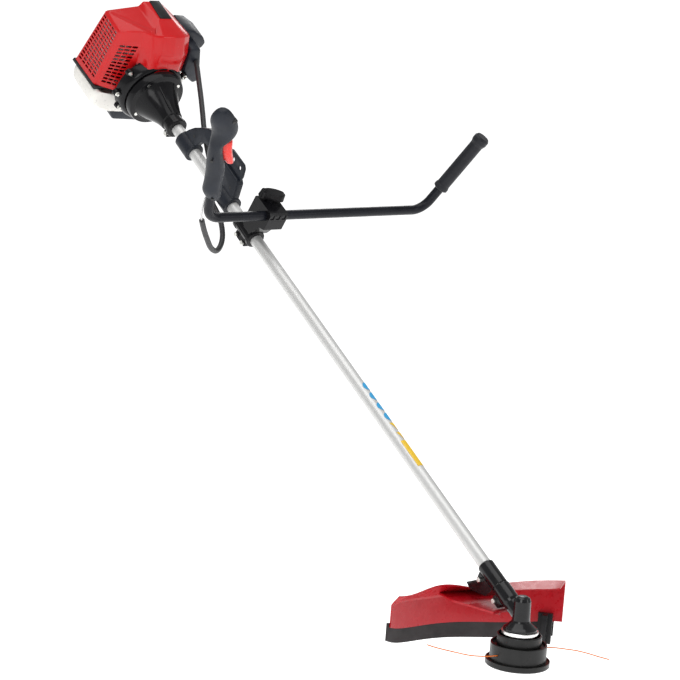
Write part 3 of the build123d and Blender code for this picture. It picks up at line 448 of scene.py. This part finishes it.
# Steel pins inside the shells carry the trigger and the lockout.
for number, (along, aside) in enumerate(((233, -22), (271, -9))):
    pin = turned(f"grip_pin_{number}", [(0.2, -7), (1.7, -7), (2, -6.6), (2, 6.6), (1.7, 7), (0.2, 7)],
                 on_grip(along, aside), ACROSS.normalized(), 24)
    dress(pin, bright_steel)
    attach(pin, "bar")
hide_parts("grip_pins")

# Near-black discs over the three screws of the outer shell: painted shade standing in for the dark inside
# their recesses.
recess_painted_shade = finish("painted_screw_recess_shade", (0.006, 0.006, 0.007), 0.5)
SOCKET_R = 0.0034
for number, (along, aside, deep) in enumerate(((257, -19, 20.3), (195, 12, 16.8), (73, -4, 16.0))):
    socket = bmesh.new()
    bmesh.ops.create_cone(socket, segments=24, cap_ends=True, radius1=SOCKET_R, radius2=SOCKET_R, depth=0.004)
    seat = Matrix.Translation(on_grip(along, aside) + AHEAD * deep / 1000)
    bmesh.ops.transform(socket, verts=socket.verts,
                        matrix=seat @ AHEAD.to_track_quat("Z", "Y").to_matrix().to_4x4())
    mesh = bpy.data.meshes.new(f"grip_screw_{number}")
    socket.to_mesh(mesh)
    socket.free()
    screw = dress(link(f"grip_screw_{number}", mesh), recess_painted_shade)
    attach(screw, "bar")

# ---------------------------------------------------------------- trigger
# Red moulded throttle trigger, squared off for the finger and hinged on a pin inside the grip's head.
signal_red = finish("signal_red", (0.8, 0.03, 0.02), 0.3, grain=600, bump=0.00005, shade=0.05)
BLADE = [(232, -19, 13, 9), (225, -20, 14, 11), (200, -22, 13, 13), (178, -29, 10.5, 12), (161, -37, 7.5, 9),
         (157, -38, 6, 6)]
blade = swept("trigger_blade", [(on_grip(along, aside), wide, deep) for along, aside, wide, deep in BLADE],
              square=0.6)
dress(blade, signal_red)
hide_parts("throttle_trigger")
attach(blade, "trigger")
dress(nodes["stop_switch"], black_plastic)

# Black safety lockout in the back of the grip, pressed by the palm before the trigger can move.
PALM = [(246, 2, 3), (241, 5, 6), (224, 6, 7), (205, 5.5, 6), (192, 3, 3)]
palm = swept("lockout_palm", [(on_grip(along, -4, behind=19), wide, deep) for along, wide, deep in PALM],
             square=0.7)
dress(palm, black_plastic)
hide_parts("throttle_lockout")
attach(palm, "lockout")

# ---------------------------------------------------------------- hip guard
# Anthracite moulding clamped on the tube: an arch over the cable with a thin ear that is drilled for the
# harness hook, and two screws at each collar.


def plate(name, outline, low, high, round_off=2.0, holes=()):
    """A plate along the shaft: its outline is up the shaft and above, between two places to the right."""
    build = bmesh.new()
    near = [build.verts.new(spot(high, s, p)) for s, p in outline]
    far = [build.verts.new(spot(low, s, p)) for s, p in outline]
    build.faces.new(near)
    build.faces.new(reversed(far))
    for number in range(len(outline)):
        after = (number + 1) % len(outline)
        build.faces.new((near[number], far[number], far[after], near[after]))
    bmesh.ops.recalc_face_normals(build, faces=build.faces)
    mesh = bpy.data.meshes.new(name)
    build.to_mesh(mesh)
    build.free()
    piece = link(name, mesh)
    for s, p, radius in holes:
        drill = bmesh.new()
        bmesh.ops.create_cone(drill, segments=32, cap_ends=True, radius1=radius / 1000,
                              radius2=radius / 1000, depth=0.2)
        bmesh.ops.transform(drill, verts=drill.verts, matrix=Matrix.Translation(spot(0, s, p))
                            @ Matrix.Rotation(pi / 2, 4, "Y"))
        cut(piece, drill)
    if round_off:
        soften = piece.modifiers.new("soften", "BEVEL")
        soften.width = round_off / 1000
        soften.segments = 3
        soften.limit_method = "ANGLE"
        soften.angle_limit = radians(28)
    return settle(piece, 40)


def cut(piece, shape):
    """Cuts a shape out of the piece."""
    mesh = bpy.data.meshes.new("cutter")
    shape.to_mesh(mesh)
    shape.free()
    cutter = link("cutter", mesh)
    change = piece.modifiers.new("cut", "BOOLEAN")
    change.operation = "DIFFERENCE"
    change.solver = "EXACT"
    change.object = cutter
    settle(piece)
    bpy.data.objects.remove(cutter)


arch = plate("hip_arch", [
    (1244, -10), (1246, 26), (1254, 60), (1262, 66), (1326, 66), (1346, 96), (1385, 97), (1415, 86),
    (1438, 69), (1458, 52), (1472, 34), (1481, 16), (1483, -4), (1478, -16), (1432, -16), (1430, 20),
    (1420, 42), (1396, 53), (1350, 53), (1318, 46), (1304, 20), (1298, -14)], -10, 10, round_off=3.5)
ear = plate("harness_ear", [(1256, 78), (1262, 97), (1270, 103), (1322, 103), (1338, 96), (1338, 70),
                            (1300, 60), (1258, 60)], -2.5, 2.5, round_off=1.0,
            holes=[(1277, 87, 5.25), (1307, 87, 5.25)])
for piece in (arch, ear):
    dress(piece, anthracite)
    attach(piece, ROOT)
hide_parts("hip_guard")


for name, start, length in (("hip_collar_low", 1243, 54), ("hip_collar_high", 1428, 54)):
    collar = turned(name, [(14.1, start), (22, start), (23, start + 1.5), (22.5, start + length - 1.5),
                           (21, start + length), (14.1, start + length)], spot(0, 0, 0), UP_SHAFT)
    dress(collar, anthracite)
    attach(collar, ROOT)
# The hip guard's screw heads are near-black discs in the same painted recess shade.
for number, (s, p) in enumerate(((1444, 38), (1451, 20), (1268, 36), (1270, 16))):
    screw = turned(f"hip_screw_{number}", [(0.2, 9.2), (3.6, 9.2), (3.6, 10.3), (2.6, 10.3), (0.2, 10.1)],
                   spot(0, s, p), Vector((1, 0, 0)), 24)
    dress(screw, recess_painted_shade)
    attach(screw, ROOT)

# ---------------------------------------------------------------- safety labels
# Plain printed film wrapped on the tube: four blue discs, two yellow triangles and a yellow panel.
label_blue = finish("label_blue", (0.04, 0.38, 0.72), 0.3, grain=900, bump=0.00002, shade=0.03)
label_yellow = finish("label_yellow", (0.9, 0.58, 0.03), 0.3, grain=900, bump=0.00002, shade=0.03)
DISC = [(cos(2 * pi * n / 24) * 12, sin(2 * pi * n / 24) * 12) for n in range(24)]
TRIANGLE = [(12, -11), (12, 11), (-9, 0)]
PANEL = [(37, -14), (37, 14), (-37, 14), (-37, -14)]
for number, (shape, middle, material, slot) in enumerate(
        [(DISC, s, label_blue, "white_clear") for s in (650, 620, 589, 558)]
        + [(TRIANGLE, s, label_yellow, "white_clear") for s in (527, 499)]
        + [(PANEL, 450, label_yellow, "white_clear")]):
    build = bmesh.new()
    flat = build.faces.new([build.verts.new((along, around, 0)) for along, around in shape])
    bmesh.ops.triangulate(build, faces=[flat])
    bmesh.ops.subdivide_edges(build, edges=build.edges, cuts=7, use_grid_fill=True)
    for vertex in build.verts:
        along, around = vertex.co.x, vertex.co.y / 14 + radians(118)
        vertex.co = spot(14.35 * cos(around), middle + along, 14.35 * sin(around))
    mesh = bpy.data.meshes.new(f"label_{number}")
    build.to_mesh(mesh)
    build.free()
    label = link(f"label_{number}", mesh)
    film = label.modifiers.new("film", "SOLIDIFY")
    film.thickness = 0.0002
    dress(settle(label), material)
    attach(label, ROOT)

# Steel eyelets where the line leaves the drum.
for side in (1, -1):
    eyelet = turned(f"line_eyelet_{side + 2}", [(1.6, 51), (3.4, 51), (4.4, 54.2), (3.6, 55.4), (2, 55.2)],
                    Vector((0, 1.0236, -0.84487)), Vector((side, 0, 0)), 32)
    dress(eyelet, bright_steel)
    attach(eyelet, "head")

# ---------------------------------------------------------------- engine cover
# Red gloss moulding over the air-cooled cylinder. A slotted side panel and a slotted corner panel let the
# cooling air out, the front swells over the fan shroud, and a spine carries the spark plug's hatch.
cover_red = finish("cover_red", (0.56, 0.006, 0.008), 0.2, grain=300, bump=0.00003, coat=0.12, shade=0.02,
                   edge=0.001, gloss=0.3)
CORNERS = {
    "side_top_back": (112, 1786, 131), "side_top": (112, 1710, 127), "side_foot": (112, 1716, -33),
    "side_foot_back": (112, 1812, -35), "corner_top": (65, 1685, 148), "corner_foot": (65, 1692, -33),
    "corner_mid": (57, 1683, 104), "corner_low": (50, 1681, 58),
    "front_top_1": (44, 1674, 147), "front_top_2": (20, 1666, 149), "front_top_3": (-12, 1666, 150),
    "front_top_4": (-44, 1673, 147), "front_top_5": (-74, 1690, 136),
    "front_mid_1": (43, 1658, 106), "front_mid_2": (20, 1647, 108), "front_mid_3": (-12, 1645, 108),
    "front_mid_4": (-46, 1651, 104), "front_mid_5": (-76, 1672, 98),
    "front_low_1": (41, 1643, 60), "front_low_2": (20, 1638, 58), "front_low_3": (-12, 1638, 58),
    "front_low_4": (-46, 1642, 60), "front_low_5": (-72, 1664, 50),
    "sill_1": (41, 1684, 52), "sill_4": (-46, 1684, 52),
    "spine_foot": (30, 1690, 148), "spine_foot_back": (30, 1782, 149), "spine_1": (10, 1716, 158),
    "spine_2": (-30, 1716, 158), "spine_back_1": (25, 1780, 165), "spine_back_2": (-22, 1780, 165),
    "far_top_back": (-86, 1776, 122), "far_foot": (-84, 1692, -20), "far_foot_back": (-92, 1806, -22)}
FACES = [
    ("side_top_back", "side_top", "side_foot", "side_foot_back"),
    ("side_top", "corner_top", "corner_mid", "corner_low", "corner_foot", "side_foot"),
    ("corner_top", "front_top_1", "front_mid_1", "corner_mid"),
    ("corner_mid", "front_mid_1", "front_low_1", "corner_low"),
    ("corner_low", "front_low_1", "sill_1"), ("corner_low", "sill_1", "corner_foot"),
    ("front_low_1", "front_low_2", "front_low_3", "front_low_4", "sill_4", "sill_1"),
    ("front_low_4", "front_low_5", "far_foot", "sill_4"),
    ("side_top_back", "side_top", "corner_top"), ("side_top_back", "corner_top", "spine_foot"),
    ("side_top_back", "spine_foot", "spine_foot_back"),
    ("corner_top", "front_top_1", "spine_foot"), ("front_top_1", "front_top_2", "spine_1", "spine_foot"),
    ("front_top_2", "front_top_3", "spine_2", "spine_1"), ("front_top_3", "front_top_4", "spine_2"),
    ("front_top_4", "front_top_5", "spine_2"), ("front_top_5", "far_top_back", "spine_back_2", "spine_2"),
    ("spine_1", "spine_2", "spine_back_2", "spine_back_1"),
    ("spine_foot", "spine_1", "spine_back_1", "spine_foot_back"),
    ("front_top_5", "front_mid_5", "front_low_5", "far_foot", "far_foot_back", "far_top_back"),
    ("side_top_back", "spine_foot_back", "spine_back_1", "spine_back_2", "far_top_back", "far_foot_back",
     "side_foot_back")]
FACES += [(f"front_{high}_{n}", f"front_{high}_{n + 1}", f"front_{low}_{n + 1}", f"front_{low}_{n}")
          for high, low in (("top", "mid"), ("mid", "low")) for n in range(1, 5)]


def slot_rows(first, second, third, fourth, across, down, columns, rows, ridge=0.24, rib=0.42):
    """Cutters for a grille: rows of slots between four corners, given as shares across and down."""
    build = bmesh.new()
    out = (second - first).cross(fourth - first).normalized() * 0.007

    def at(u, v):
        return (first * (1 - u) + second * u) * (1 - v) + (fourth * (1 - u) + third * u) * v

    for column in range(columns):
        for row in range(rows):
            wide = (across[1] - across[0]) / columns
            tall = (down[1] - down[0]) / rows
            u = across[0] + wide * column
            v = down[0] + tall * row
            rim = [at(u, v), at(u + wide * (1 - ridge), v), at(u + wide * (1 - ridge), v + tall * (1 - rib)),
                   at(u, v + tall * (1 - rib))]
            near = [build.verts.new(corner + out) for corner in rim]
            far = [build.verts.new(corner - out) for corner in rim]
            build.faces.new(near)
            build.faces.new(reversed(far))
            for number in range(4):
                after = (number + 1) % 4
                build.faces.new((near[number], far[number], far[after], near[after]))
    bmesh.ops.recalc_face_normals(build, faces=build.faces)
    return build


names = list(CORNERS)
cover_mesh = bpy.data.meshes.new("cooling_cover")
cover_mesh.from_pydata([spot(*CORNERS[name]) for name in names], [],
                       [[names.index(corner) for corner in face] for face in FACES])
build = bmesh.new()
build.from_mesh(cover_mesh)
bmesh.ops.recalc_face_normals(build, faces=build.faces)
build.to_mesh(cover_mesh)
build.free()
cover = link("cooling_cover", cover_mesh)
soften = cover.modifiers.new("soften", "BEVEL")
soften.width = 0.005
soften.segments = 4
soften.limit_method = "ANGLE"
soften.angle_limit = radians(14)
shell = cover.modifiers.new("shell", "SOLIDIFY")
shell.thickness = 0.0026
shell.offset = -1
settle(cover)
corner = {name: spot(*place) for name, place in CORNERS.items()}
cut(cover, slot_rows(corner["side_top"], corner["side_top_back"], corner["side_foot_back"],
                     corner["side_foot"], (0.09, 0.97), (0.06, 0.95), 5, 15))
cut(cover, slot_rows(corner["side_top"], spot(56, 1682, 148), corner["corner_foot"],
                     corner["side_foot"], (0.26, 0.98), (0.24, 0.95), 3, 12, ridge=0.16))
dress(cover, cover_red)
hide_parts("engine_cover")
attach(cover, ROOT)

# Pressed aluminium heat shield, seen through the slots of the side and corner panels.
cast_metal = finish("cast_metal", (0.62, 0.62, 0.62), 0.38, grain=500, bump=0.0003, metal=0.85, shade=0.25)
for node in ("flywheel", "piston", "cylinder", "carburettor", "muffler"):
    dress(nodes[node], cast_metal)
shield = plate("heat_shield", [(1718, -24), (1722, 118), (1740, 122), (1744, 108), (1760, 108), (1764, 122),
                               (1778, 120), (1798, -24)], 101, 102.5, round_off=0.5,
               holes=[(s, p, 6) for s in (1736, 1762) for p in (0, 26, 52, 78)])
dress(shield, cast_metal)
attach(shield, ROOT)

# Black hatch over the spark plug, let into the top of the spine.
hatch = bpy.data.meshes.new("plug_hatch")
rim = [(5, 1721), (-27, 1721), (-20, 1778), (8, 1778)]
heights = [159, 159, 165.4, 165.4]
hatch.from_pydata([spot(x, s, p + lift) for lift in (-2, 2.2) for (x, s), p in zip(rim, heights)], [],
                  [(3, 2, 1, 0), (4, 5, 6, 7), (0, 1, 5, 4), (1, 2, 6, 5), (2, 3, 7, 6), (3, 0, 4, 7)])
hatch = link("plug_hatch", hatch)
soften = hatch.modifiers.new("soften", "BEVEL")
soften.width = 0.0014
soften.segments = 3
dress(settle(hatch), black_plastic)
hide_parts("plug_cover")
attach(hatch, ROOT)

# Black sill that joins the red cover to the tank and the crankcase.
sill = plate("cover_sill", [(1708, -42), (1708, -33), (1816, -35), (1818, -44)], 60, 113.5, round_off=1.5)
dress(sill, black_plastic)
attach(sill, ROOT)

# ---------------------------------------------------------------- clutch funnel and fan shroud
# Gloss black nylon funnel clamped on the tube by a split collar, screwed to the black fan shroud that
# stands before the crankcase. Fins stiffen the funnel.
funnel = turned("clutch_funnel", [
    (14.2, 1514), (24, 1514), (25.5, 1516), (25.5, 1523), (23.5, 1525), (23.5, 1540), (26.5, 1542),
    (28, 1550), (30, 1559), (34, 1571), (40, 1585), (47, 1600), (53, 1612), (57, 1617), (69, 1619),
    (71, 1624), (71.5, 1636), (66, 1637), (60, 1637), (48, 1606), (14.2, 1552)], spot(0, 0, 0), UP_SHAFT, 96)
shroud = turned("fan_shroud", [
    (60, 1640), (74, 1640), (77, 1642), (81, 1650), (83, 1672), (80, 1675), (60, 1675)],
    spot(0, 0, 0), UP_SHAFT, 96)
for piece, node in ((funnel, "clutch_housing"), (shroud, "crankcase")):
    dress(piece, gloss_nylon)
    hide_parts(node)
    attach(piece, ROOT)
for number, turn in enumerate((68, 118, 215)):
    side = Vector((cos(radians(turn)), 0, 0)) + ABOVE * sin(radians(turn))
    wide = UP_SHAFT.cross(side).normalized() * 0.0016
    outline = [(24, 1541), (29, 1545), (52, 1609), (50, 1614), (36, 1597), (24, 1560)]
    points = [spot(0, s, 0) + side * r / 1000 for r, s in outline]
    fin_mesh = bpy.data.meshes.new(f"funnel_fin_{number}")
    count = len(points)
    fin_mesh.from_pydata([point + wide for point in points] + [point - wide for point in points], [],
                         [list(range(count)), list(range(2 * count - 1, count - 1, -1))]
                         + [(n, count + n, count + (n + 1) % count, (n + 1) % count) for n in range(count)])
    fin = link(f"funnel_fin_{number}", fin_mesh)
    soften = fin.modifiers.new("soften", "BEVEL")
    soften.width = 0.0008
    soften.segments = 2
    dress(settle(fin), gloss_nylon)
    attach(fin, ROOT)
collar_lug = plate("collar_lug", [(1522, -20), (1522, -31), (1525, -34), (1538, -34), (1541, -31),
                                  (1541, -20)], -11, 11, round_off=2)
dress(collar_lug, gloss_nylon)
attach(collar_lug, ROOT)
RIM_SCREWS = [(32, 90, 9), (-8, 88, 9), (-38, 82, 9), (156, 92, 9), (207, 88, 9)]
FLANGE_SCREWS = [(-50, 54, -14), (48, 59, -14), (141, 58, -14), (225, 59, -14)]
for number, (turn, radius, forward) in enumerate(RIM_SCREWS + FLANGE_SCREWS):
    around = Vector((cos(radians(turn)), 0, 0)) + ABOVE * sin(radians(turn))
    centre = spot(0, forward, 0) + around * radius / 1000
    boss = turned(f"shroud_boss_{number}", [(0.3, 1646), (7, 1646), (8, 1647.5), (9, 1656),
                                            (0.3, 1658)], centre, UP_SHAFT, 32)
    dress(boss, gloss_nylon)
    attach(boss, ROOT)
    screw = turned(f"shroud_screw_{number}", [(0.3, 1640), (3.4, 1640), (3.6, 1641), (3.6, 1645), (6, 1645.2),
                                              (6, 1647), (0.3, 1647)], centre, UP_SHAFT, 6)
    dress(screw, zinc)
    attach(screw, ROOT)

# ---------------------------------------------------------------- tank
# Blow-moulded cream polyethylene fuel tank, wrapped round the underside of the engine and rounded at all
# its edges.
tank_cream = finish("tank_cream", (0.88, 0.86, 0.81), 0.32, grain=200, bump=0.0001, through=0.1, shade=0.02)
RING = [(114, -40), (119, -54), (111, -80), (84, -99), (44, -108), (-30, -110), (-78, -108), (-114, -92),
        (-132, -56), (-137, -8), (-136, 50), (-116, 54), (-102, -20), (-92, -70), (-40, -84), (40, -82),
        (80, -70), (94, -42)]
middle = (-2, -62)
build = bmesh.new()
rings = [[build.verts.new(spot(middle[0] + (x - middle[0]) * share, s, middle[1] + (p - middle[1]) * share))
          for x, p in RING] for s, share in ((1697, 0.86), (1699, 0.93), (1706, 0.99), (1740, 1.0),
                                             (1782, 1.0), (1800, 0.97), (1807, 0.9), (1809, 0.84))]
for low, high in zip(rings, rings[1:]):
    for number in range(len(RING)):
        after = (number + 1) % len(RING)
        build.faces.new((low[number], low[after], high[after], high[number]))
build.faces.new(reversed(rings[0]))
build.faces.new(rings[-1])
bmesh.ops.recalc_face_normals(build, faces=build.faces)
tank_mesh = bpy.data.meshes.new("tank_bottle")
build.to_mesh(tank_mesh)
build.free()
tank = link("tank_bottle", tank_mesh)
smooth = tank.modifiers.new("smooth", "SUBSURF")
smooth.levels = smooth.render_levels = 2
dress(settle(tank, 60), tank_cream)
neck = turned("filler_neck", [(0.3, 1790), (26, 1790), (26, 1836), (22, 1843), (17, 1846), (17, 1852),
                              (0.3, 1852)], spot(-20, 0, -96), UP_SHAFT, 48)
dress(neck, tank_cream)
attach(neck, ROOT)
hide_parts("fuel_tank")
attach(tank, ROOT)

# Anthracite air box beside the cylinder: a lid with chamfered edges over a body that reaches down to the
# tank, both moulded.
# The tank stands on a plain black foot.
lid_outline = [(-66, 138), (-96, 136), (-131, 117), (-143, 103), (-138, 86), (-96, 80), (-78, 110)]
body_outline = [(-74, 112), (-101, 116), (-141, 22), (-125, 11), (-80, 42)]
foot_outline = [(50, -98), (26, -128), (-86, -134), (-96, -118), (-92, -96)]
for name, outline, low, high, node in (("air_box_body", body_outline, 1664, 1716, "air_filter_cover"),
                                       ("air_box_lid", lid_outline, 1702, 1768, "air_filter_cover"),
                                       ("tank_stand", foot_outline, 1698, 1784, "tank_foot")):
    box_mesh = bpy.data.meshes.new(name)
    count = len(outline)
    box_mesh.from_pydata([spot(x, low, p) for x, p in outline] + [spot(x, high, p) for x, p in outline], [],
                         [list(range(count)), list(range(2 * count - 1, count - 1, -1))]
                         + [(n, count + n, count + (n + 1) % count, (n + 1) % count) for n in range(count)])
    box = link(name, box_mesh)
    soften = box.modifiers.new("soften", "BEVEL")
    soften.width = 0.006
    soften.segments = 3
    dress(settle(box), anthracite)
    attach(box, ROOT)
    if name != "air_box_body":
        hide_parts(node)
for node in ("starter_cover", "starter_pulley", "starter_handle",
             "choke_lever", "fuel_cap"):
    dress(nodes[node], black_plastic)
dress(nodes["primer_bulb"], milky)
glaze = finish("spark_glaze", (0.85, 0.84, 0.8), 0.15, coat=0.5)
dress(nodes["spark_plug"], glaze)
